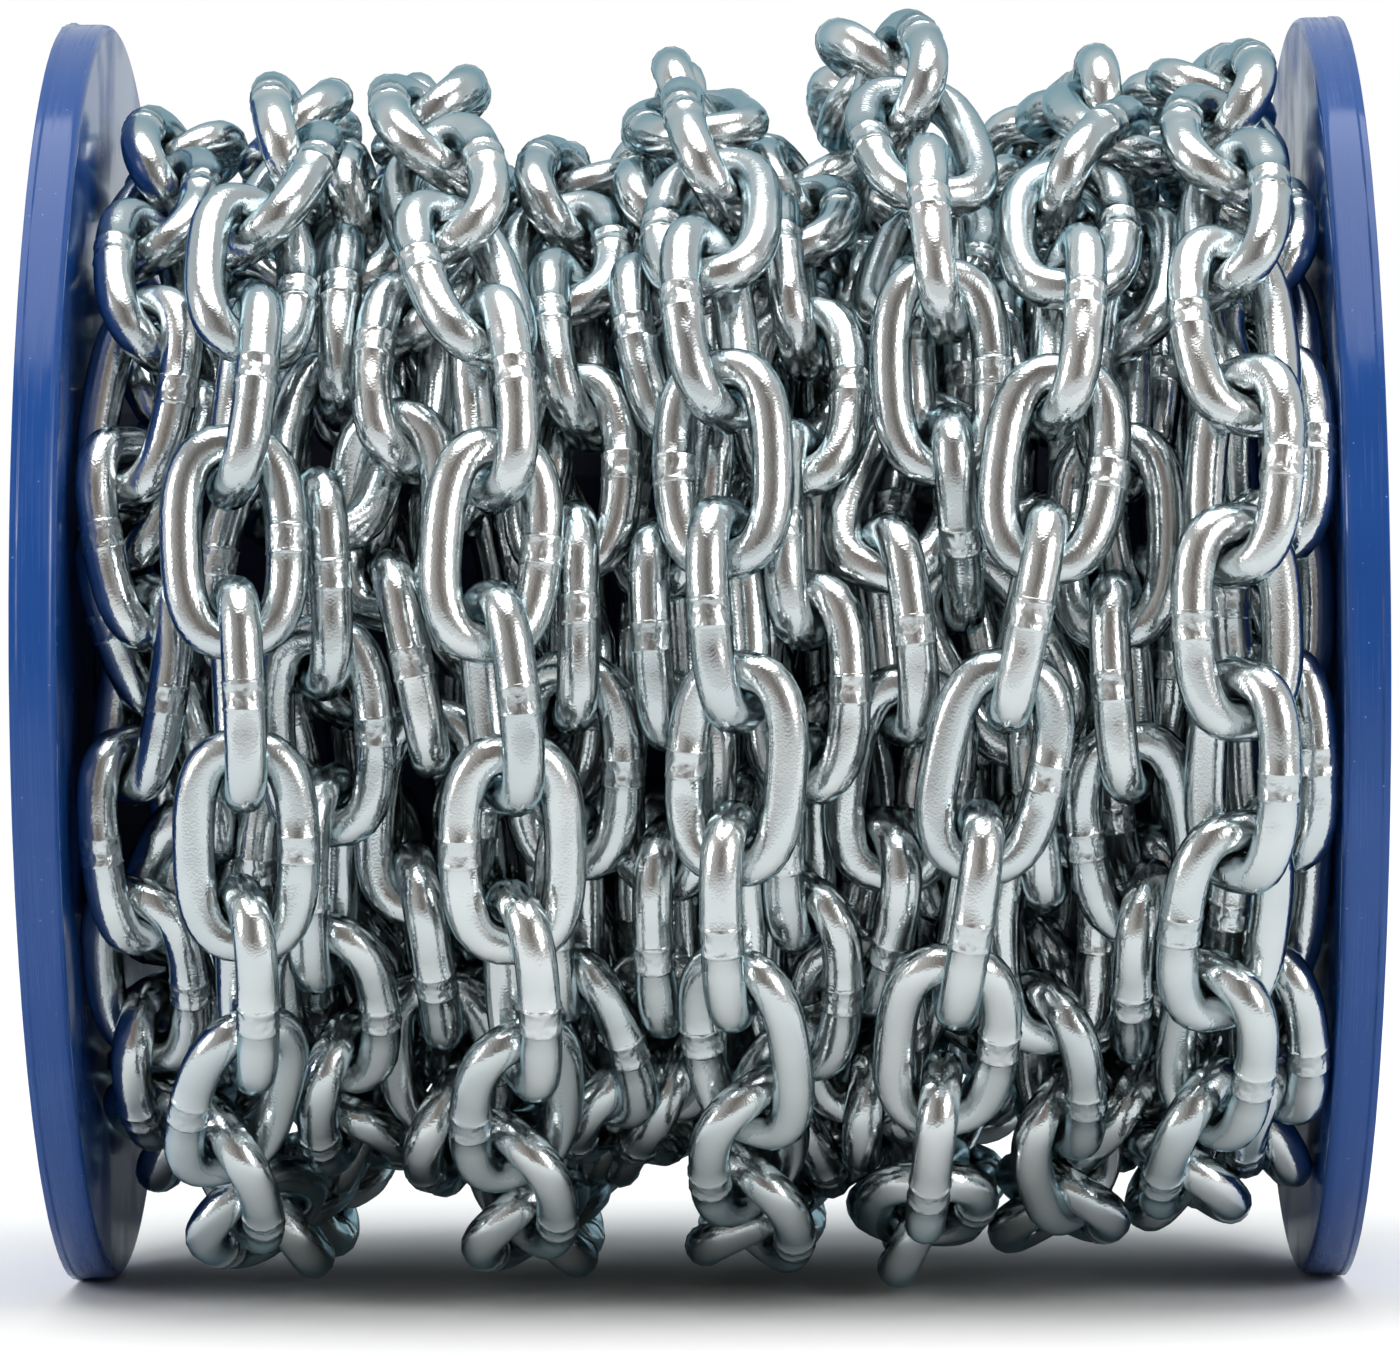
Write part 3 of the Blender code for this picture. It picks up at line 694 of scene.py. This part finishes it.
def drum_plastic():
    """The same polypropylene on the hidden drum: darker as painted shade,
    duller and rubbed by the chain."""
    material, tree, shader = new_material("drum_plastic_painted_shade")
    place = add_node(tree, "ShaderNodeTexCoord").outputs["Object"]
    rubbed = add_node(tree, "ShaderNodeTexNoise", {"Vector": place}, {"Scale": 120.0, "Detail": 4.0})
    # Both tones are painted shade, darker than the flanges' blue because the drum lies hidden inside the
    # reel
    body = add_node(tree, "ShaderNodeMix", {"Factor": rubbed.outputs["Fac"]},
                    {"A": colour("#16244a"), "B": colour("#2a3a66")}, data_type="RGBA")
    tree.links.new(body.outputs["Result"], shader.inputs["Base Color"])
    gloss = add_node(tree, "ShaderNodeMapRange", {"Value": rubbed.outputs["Fac"]},
                     {"To Min": 0.4, "To Max": 0.6})
    tree.links.new(gloss.outputs["Result"], shader.inputs["Roughness"])
    return material


def pale_floor_paint():
    """Matt studio floor paint, rolled: pale and even, with a faint mottle.
    What lights and reflections meet is painted shade: a little greyer, with a painted
    dark patch behind the reel, no wider than the reel but spreading into the distance."""
    material, tree, shader = new_material("pale_floor_paint")
    shader.inputs["Roughness"].default_value = 0.6
    shader.inputs["Specular IOR Level"].default_value = 0.0
    place = add_node(tree, "ShaderNodeTexCoord").outputs["Object"]
    mottle = add_node(tree, "ShaderNodeTexNoise", {"Vector": place}, {"Scale": 12.0})
    paint = add_node(tree, "ShaderNodeMix", {"Factor": mottle.outputs["Fac"]},
                     {"A": colour("#f8f9f9"), "B": colour("#fdfdfd")}, data_type="RGBA")
    parts = add_node(tree, "ShaderNodeSeparateXYZ", {"Vector": place})
    # The painted dark patch, in metres: it begins behind the axis, reaches 0.1 to both sides,
    # and 0.09 more for each metre away
    behind = add_node(tree, "ShaderNodeMapRange", {"Value": parts.outputs["Y"]},
                      {"From Min": 0.02, "From Max": 0.10})
    aside = add_node(tree, "ShaderNodeMath", {0: parts.outputs["X"]}, operation="ABSOLUTE")
    off_painted_patch = add_node(tree, "ShaderNodeMath", {0: parts.outputs["Y"], 2: aside.outputs["Value"]},
                        {1: -0.09}, operation="MULTIPLY_ADD")
    beside = add_node(tree, "ShaderNodeMapRange", {"Value": off_painted_patch.outputs["Value"]},
                      {"From Min": 0.14, "From Max": 0.10})
    painted_patch = add_node(tree, "ShaderNodeMath", {0: behind.outputs["Result"], 1: beside.outputs["Result"]},
                    operation="MULTIPLY")
    # Painted shade for lights and reflections: the floor greyer, and dark on the patch behind the reel
    painted_shade = add_node(tree, "ShaderNodeMix", {"Factor": painted_patch.outputs["Value"]},
                     {"A": colour("#e0e4e5"), "B": colour("#4a4e54")}, data_type="RGBA")
    # The camera sees the pale paint, and lights and reflections see the painted shade
    seen = add_node(tree, "ShaderNodeLightPath").outputs["Is Camera Ray"]
    shown = add_node(tree, "ShaderNodeMix", {"Factor": seen, "A": painted_shade.outputs["Result"],
                                             "B": paint.outputs["Result"]}, data_type="RGBA")
    tree.links.new(shown.outputs["Result"], shader.inputs["Base Color"])
    return material


# The links


def link_line(name, bend_steps):
    """Middle line of one link as a closed chain of edges, with how thick the
    wire is at each point and where the weld lies."""
    half_length = (LINK_LENGTH - WIRE) / 2
    half_width = (LINK_WIDTH - WIRE) / 2
    half_weld = WELD_LENGTH / 2
    seam = SEAM_WIDTH
    weld_stops = [
        (-half_weld - seam, 1.0, 0), (-half_weld, SEAM_SWELL, 1), (-half_weld + seam, WELD_SWELL, 1),
        (0.0, WELD_MIDDLE_SWELL, 1),
        (half_weld - seam, WELD_SWELL, 1), (half_weld, SEAM_SWELL, 1), (half_weld + seam, 1.0, 0),
    ]
    points = []
    for x, swell, weld in weld_stops:
        y = half_width * (1 - (abs(x) / half_length) ** OVAL_POWER) ** (1 / OVAL_POWER)
        points.append((x, y, swell, weld))
    last = 2 * bend_steps + 2
    for i in range(last + 1):
        angle = LEG_ANGLE - (math.pi + 2 * LEG_ANGLE) * i / last
        cosine, sine = math.cos(angle), math.sin(angle)
        x = half_length * math.copysign(abs(cosine) ** (2 / OVAL_POWER), cosine)
        y = half_width * math.copysign(abs(sine) ** (2 / OVAL_POWER), sine)
        points.append((x, y, 1.0, 0))
    mesh = bpy.data.meshes.new(name)
    count = len(points)
    mesh.from_pydata(
        [(x, y, 0) for x, y, _, _ in points],
        [(i, (i + 1) % count) for i in range(count)], [])
    for label, column in (("swell", 2), ("weld", 3)):
        layer = mesh.attributes.new(label, "FLOAT", "POINT")
        layer.data.foreach_set("value", [point[column] for point in points])
    line = bpy.data.objects.new(name, mesh)
    bpy.context.collection.objects.link(line)
    return line


def link_places(name, centres, turns, shades):
    """One point for each link, which carries the link's turn and its shade of plating."""
    mesh = bpy.data.meshes.new(name)
    mesh.from_pydata([tuple(c) for c in centres], [], [])
    turn = mesh.attributes.new("turn", "FLOAT_VECTOR", "POINT")
    for i, matrix in enumerate(turns):
        turn.data[i].vector = Matrix(matrix.tolist()).to_euler()
    shade = mesh.attributes.new("link_shade", "FLOAT", "POINT")
    shade.data.foreach_set("value", shades)
    places = bpy.data.objects.new(name, mesh)
    bpy.context.collection.objects.link(places)
    return places


def chain_tree():
    """Node tree that bends a wire along the link line and sets a link on every place."""
    tree = bpy.data.node_groups.new("chain_links", "GeometryNodeTree")
    tree.is_modifier = True
    sockets = tree.interface
    sockets.new_socket("Geometry", in_out="INPUT", socket_type="NodeSocketGeometry")
    sockets.new_socket("Link line", in_out="INPUT", socket_type="NodeSocketObject")
    sockets.new_socket("Wire", in_out="INPUT", socket_type="NodeSocketFloat")
    sockets.new_socket("Wire sides", in_out="INPUT", socket_type="NodeSocketInt")
    sockets.new_socket("Plating", in_out="INPUT", socket_type="NodeSocketMaterial")
    sockets.new_socket("Geometry", in_out="OUTPUT", socket_type="NodeSocketGeometry")
    given = add_node(tree, "NodeGroupInput").outputs
    line = add_node(tree, "GeometryNodeObjectInfo", {"Object": given["Link line"]})
    curve = add_node(tree, "GeometryNodeMeshToCurve", {"Mesh": line.outputs["Geometry"]})
    swell = add_node(tree, "GeometryNodeInputNamedAttribute", values={"Name": "swell"}, data_type="FLOAT")
    # The section is a circle of diameter 1, sized to the wire
    section = add_node(tree, "GeometryNodeCurvePrimitiveCircle", {"Resolution": given["Wire sides"]},
                       {"Radius": 0.5})
    section_size = add_node(tree, "GeometryNodeTransform", {"Geometry": section.outputs["Curve"],
                                                            "Scale": given["Wire"]})
    wire = add_node(tree, "GeometryNodeCurveToMesh",
                    {"Curve": curve.outputs["Curve"], "Profile Curve": section_size.outputs["Geometry"],
                     "Scale": swell.outputs["Attribute"]})
    smooth = add_node(tree, "GeometryNodeSetShadeSmooth", {"Geometry": wire.outputs["Mesh"]})
    turn = add_node(tree, "GeometryNodeInputNamedAttribute", values={"Name": "turn"},
                    data_type="FLOAT_VECTOR")
    rotation = add_node(tree, "FunctionNodeEulerToRotation", {"Euler": turn.outputs["Attribute"]})
    placed = add_node(tree, "GeometryNodeInstanceOnPoints",
                      {"Points": given["Geometry"], "Instance": smooth.outputs["Geometry"],
                       "Rotation": rotation.outputs["Rotation"]})
    real = add_node(tree, "GeometryNodeRealizeInstances", {"Geometry": placed.outputs["Instances"]})
    plated = add_node(tree, "GeometryNodeSetMaterial",
                      {"Geometry": real.outputs["Geometry"], "Material": given["Plating"]})
    add_node(tree, "NodeGroupOutput", {"Geometry": plated.outputs["Geometry"]})
    return tree


def make_chain(name, tree, line, places, sides, plating):
    """A plain mesh of the links on the given places."""
    modifier = places.modifiers.new("links", "NODES")
    modifier.node_group = tree
    values = {"Link line": line, "Wire": WIRE, "Wire sides": sides, "Plating": plating}
    for item in tree.interface.items_tree:
        if item.in_out == "INPUT" and item.name in values:
            modifier[item.identifier] = values[item.name]
    places.update_tag()
    graph = bpy.context.evaluated_depsgraph_get()
    graph.update()
    mesh = bpy.data.meshes.new_from_object(places.evaluated_get(graph))
    mesh.name = name
    mesh.materials.clear()
    mesh.materials.append(plating)
    bpy.data.objects.remove(places)
    chain = bpy.data.objects.new(name, mesh)
    bpy.context.collection.objects.link(chain)
    return chain


def build_chain(plating):
    """All links: settled, made, and set in the place of the CAD's chain."""
    dice = np.random.default_rng(RANDOM_SEED)
    centres, turns, numbers, layers = lay_links(dice)
    pile = Pile(centres, turns, numbers, layers)
    pile.settle(SETTLE_ROUNDS)
    shades = dice.uniform(0, 1, len(centres))
    tree = chain_tree()
    # Name, strand numbers, steps in a bend, sides of the wire, the CAD nodes it stands for
    makes = [
        ("chain_outer_turns", 0, 14, 14, CHAIN_RUNS[:OUTER_RUNS]),
        ("chain_crossing_strand", 1, 14, 14, CHAIN_RUNS[OUTER_RUNS:]),
        ("chain_second_layer", 2, 10, 12, ["chain_core"]),
        ("chain_inner_layer", 3, 6, 8, ["chain_core"]),
    ]
    for name, number, bend_steps, sides, nodes in makes:
        chosen = numbers == number
        line = link_line(name + "_line", bend_steps)
        places = link_places(name, pile.centres[chosen], pile.turns[chosen], shades[chosen])
        chain = make_chain(name, tree, line, places, sides, plating)
        bpy.data.objects.remove(line)
        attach(chain, "root")
        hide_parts(*nodes)


# The reel

RIM_DEPTH = 5.0 * MM
WEB_THICKNESS = 3.2 * MM
HUB_RADIUS = 30.0 * MM
SPINDLE_RADIUS = 20.0 * MM
LIP_WIDTH = 0.9 * MM
LIP_HEIGHT = 0.35 * MM
# How much of the lip's height may be missing
LIP_RAGGEDNESS = 0.8
FLANGE_STEPS = 180
ROUNDING_STEPS = 4


def rounded(corners):
    """A closed outline of (x, radius, rounding) corners as points, each corner eased by its rounding."""
    points = []
    for i, (x, r, size) in enumerate(corners):
        here = Vector((x, r))
        before = (Vector(corners[i - 1][:2]) - here).normalized()
        after = (Vector(corners[(i + 1) % len(corners)][:2]) - here).normalized()
        if size == 0:
            points.append(here)
            continue
        start, end = here + before * size, here + after * size
        for step in range(ROUNDING_STEPS + 1):
            part = step / ROUNDING_STEPS
            points.append(start * (1 - part) ** 2 + here * 2 * part * (1 - part) + end * part ** 2)
    return points


def flange_outline(side):
    """Half section of a flange: spindle hole, hub ring, recessed web, rim with a thin moulding lip."""
    lip_inside = OUTSIDE - LIP_WIDTH
    rim = RIM_RADIUS - LIP_HEIGHT
    corners = [
        (OUTSIDE, SPINDLE_RADIUS, 0.6 * MM), (OUTSIDE, HUB_RADIUS, 0.6 * MM),
        (INSIDE + WEB_THICKNESS, HUB_RADIUS, 0.8 * MM),
        (INSIDE + WEB_THICKNESS, RIM_RADIUS - RIM_DEPTH, 0.8 * MM),
        (OUTSIDE, RIM_RADIUS - RIM_DEPTH, 0.5 * MM), (OUTSIDE, RIM_RADIUS, 0.15 * MM),
        (lip_inside, RIM_RADIUS, 0.15 * MM), (lip_inside - 0.3 * MM, rim, 0.2 * MM),
        (INSIDE, rim, 1.6 * MM), (INSIDE, SPINDLE_RADIUS, 0.4 * MM),
    ]
    return [(side * point.x, point.y) for point in rounded(corners)]


def flange(name, side, plastic, dice):
    """A moulded flange, turned from its outline, its lip a little ragged."""
    outline = flange_outline(side)
    rim = RIM_RADIUS - LIP_HEIGHT
    ragged = dice.uniform(0, 1, FLANGE_STEPS)
    mesh = bmesh.new()
    rings = []
    for step in range(FLANGE_STEPS):
        angle = 2 * math.pi * step / FLANGE_STEPS
        ring = []
        for x, r in outline:
            if r > rim:
                r -= (r - rim) * LIP_RAGGEDNESS * ragged[step]
            ring.append(mesh.verts.new((x, -r * math.cos(angle), AXIS_HEIGHT + r * math.sin(angle))))
        rings.append(ring)
    for ring, after in zip(rings, rings[1:] + rings[:1]):
        for i in range(len(outline)):
            j = (i + 1) % len(outline)
            mesh.faces.new((ring[i], ring[j], after[j], after[i]))
    bmesh.ops.recalc_face_normals(mesh, faces=mesh.faces)
    data = bpy.data.meshes.new(name)
    mesh.to_mesh(data)
    mesh.free()
    for face in data.polygons:
        face.use_smooth = True
    data.materials.append(plastic)
    piece = bpy.data.objects.new(name, data)
    bpy.context.collection.objects.link(piece)
    return piece


def build_reel():
    dice = np.random.default_rng(RANDOM_SEED + 1)
    plastic = blue_moulded_plastic()
    for name, side in (("flange_left", -1), ("flange_right", 1)):
        piece = flange(name + "_moulding", side, plastic, dice)
        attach(piece, "root")
        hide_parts(name)
    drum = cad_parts["drum"]
    drum.data.materials.clear()
    drum.data.materials.append(drum_plastic())


# Studio

# The camera, as fitted to the outlines of both flanges
CAMERA_DISTANCE = 1039.3 * MM
CAMERA_LENS = 176.84
CAMERA_SENSOR = 36.0
CAMERA_SIDE = -0.96 * MM
CAMERA_DROP = 4.43 * MM
# A wide, even light from above, so that the floor stays pale into the distance
DOME_ENERGY = 1.9
DOME_WIDTH = math.radians(60)
DOME_TILT = math.radians(8)
# The floor ends a little in front of the reel, as a table does
FLOOR_REACH = 6.0
FLOOR_FRONT = 0.24
# How far the reel stands turned from square to the camera, in radians
REEL_YAW = -0.0115
REEL_ROLL = -0.005
TARGET = Vector((0, 0, AXIS_HEIGHT))
# Name, place, width and height in metres, and power in watts
SOFTBOXES = [
    ("softbox_right", (1.05, -0.95, 0.55), 1.3, 1.6, 18.0),
    ("softbox_left", (-1.25, -0.55, 0.50), 0.9, 1.4, 12.0),
]


def soften_edges(light):
    """A softbox is brightest in the middle of its cloth and fades to its edges."""
    light.use_nodes = True
    tree = light.node_tree
    across = add_node(tree, "ShaderNodeNewGeometry").outputs["Parametric"]
    parts = add_node(tree, "ShaderNodeSeparateXYZ", {"Vector": across})
    fades = []
    for axis in ("X", "Y"):
        off = add_node(tree, "ShaderNodeMath", {0: parts.outputs[axis]}, {1: 0.5}, operation="SUBTRACT")
        away = add_node(tree, "ShaderNodeMath", {0: off.outputs["Value"]}, operation="ABSOLUTE")
        fades.append(add_node(tree, "ShaderNodeMapRange", {"Value": away.outputs["Value"]},
                              {"From Min": 0.5, "From Max": 0.0, "To Max": 2 ** 0.5}))
    both = add_node(tree, "ShaderNodeMath", {0: fades[0].outputs["Result"], 1: fades[1].outputs["Result"]},
                    operation="MULTIPLY")
    # In the middle four times as bright as an even softbox of that power
    glow = add_node(tree, "ShaderNodeMath", {0: both.outputs["Value"]}, {1: 2.0}, operation="POWER")
    tree.links.new(glow.outputs["Value"], tree.nodes["Emission"].inputs["Strength"])


def build_floor():
    mesh = bpy.data.meshes.new("studio_floor")
    mesh.from_pydata([(-FLOOR_REACH, -FLOOR_FRONT, 0), (FLOOR_REACH, -FLOOR_FRONT, 0),
                      (FLOOR_REACH, FLOOR_REACH, 0), (-FLOOR_REACH, FLOOR_REACH, 0)], [], [(0, 1, 2, 3)])
    mesh.materials.append(pale_floor_paint())
    floor = bpy.data.objects.new("studio_floor", mesh)
    bpy.context.collection.objects.link(floor)


def build_lights():
    """A softbox on each side, and a wide light from above."""
    for name, place, width, height, power in SOFTBOXES:
        light = bpy.data.lights.new(name, "AREA")
        light.shape = "RECTANGLE"
        light.size, light.size_y, light.energy = width, height, power
        soften_edges(light)
        box = bpy.data.objects.new(name, light)
        box.location = place
        box.rotation_euler = (TARGET - Vector(place)).to_track_quat("-Z", "Y").to_euler()
        box.visible_camera = False
        bpy.context.collection.objects.link(box)
    dome = bpy.data.objects.new("dome_overhead", bpy.data.lights.new("dome_overhead", "SUN"))
    dome.data.energy = DOME_ENERGY
    dome.data.angle = DOME_WIDTH
    dome.rotation_euler = (DOME_TILT, 0, 0)
    bpy.context.collection.objects.link(dome)


def build_camera():
    """The camera of the photo, straight in front of the reel."""
    camera = bpy.data.objects.new("camera", bpy.data.cameras.new("camera"))
    camera.data.lens = CAMERA_LENS
    camera.data.sensor_width = CAMERA_SENSOR
    camera.data.sensor_fit = "HORIZONTAL"
    camera.data.clip_start = 0.05
    camera.data.clip_end = 50.0
    turn = Matrix.Rotation(REEL_ROLL, 4, "Y") @ Matrix.Rotation(REEL_YAW, 4, "Z")
    seat = Matrix.Translation((CAMERA_SIDE, -CAMERA_DISTANCE, -CAMERA_DROP))
    level = Matrix.Rotation(math.radians(90), 4, "X")
    camera.matrix_world = Matrix.Translation(TARGET) @ turn.inverted() @ seat @ level
    bpy.context.collection.objects.link(camera)
    bpy.context.scene.camera = camera


def build_surroundings():
    """White to the camera. Reflections meet a pale wall behind the reel, and a
    dim room in front of it."""
    world = bpy.data.worlds.new("studio")
    bpy.context.scene.world = world
    world.use_nodes = True
    tree = world.node_tree
    tree.nodes.clear()
    way = add_node(tree, "ShaderNodeTexCoord").outputs["Generated"]
    parts = add_node(tree, "ShaderNodeSeparateXYZ", {"Vector": way})
    depth = add_node(tree, "ShaderNodeMapRange", {"Value": parts.outputs["Y"]},
                     {"From Min": -0.25, "From Max": 0.45})
    # In front the room is darkest round the camera, paler to both sides, and pale below
    off = add_node(tree, "ShaderNodeMath", {0: parts.outputs["X"]}, operation="ABSOLUTE")
    aside = add_node(tree, "ShaderNodeMapRange", {"Value": off.outputs["Value"]},
                     {"From Min": 0.05, "From Max": 0.65})
    front = add_node(tree, "ShaderNodeMix", {"Factor": aside.outputs["Result"]},
                     {"A": colour("#7a726d"), "B": colour("#bdb9b6")}, data_type="RGBA")
    under = add_node(tree, "ShaderNodeMapRange", {"Value": parts.outputs["Z"]},
                     {"From Min": -0.05, "From Max": -0.30})
    front = add_node(tree, "ShaderNodeMix",
                     {"Factor": under.outputs["Result"], "A": front.outputs["Result"]},
                     {"B": colour("#e4e7e8")}, data_type="RGBA")
    room = add_node(tree, "ShaderNodeMix",
                    {"Factor": depth.outputs["Result"], "A": front.outputs["Result"]},
                    {"B": colour("#d2d9dc")}, data_type="RGBA")
    # Low down behind the reel, where the glossy flanges mirror it, the room is dark
    low = add_node(tree, "ShaderNodeMapRange", {"Value": parts.outputs["Z"]},
                   {"From Min": 0.07, "From Max": 0.02})
    far = add_node(tree, "ShaderNodeMapRange", {"Value": parts.outputs["Y"]},
                   {"From Min": 0.93, "From Max": 0.985})
    dark = add_node(tree, "ShaderNodeMath", {0: low.outputs["Result"], 1: far.outputs["Result"]},
                    operation="MULTIPLY")
    room = add_node(tree, "ShaderNodeMix", {"Factor": dark.outputs["Value"], "A": room.outputs["Result"]},
                    {"B": colour("#25272d")}, data_type="RGBA")
    seen = add_node(tree, "ShaderNodeLightPath").outputs["Is Camera Ray"]
    shown = add_node(tree, "ShaderNodeMix", {"Factor": seen, "A": room.outputs["Result"]},
                     {"B": colour("#ffffff")}, data_type="RGBA")
    glow = add_node(tree, "ShaderNodeBackground", {"Color": shown.outputs["Result"]})
    add_node(tree, "ShaderNodeOutputWorld", {"Surface": glow.outputs["Background"]})


build_chain(zinc_plated_steel())
build_reel()
build_floor()
build_lights()
build_surroundings()
build_camera()
bpy.context.scene.view_settings.view_transform = "Standard"
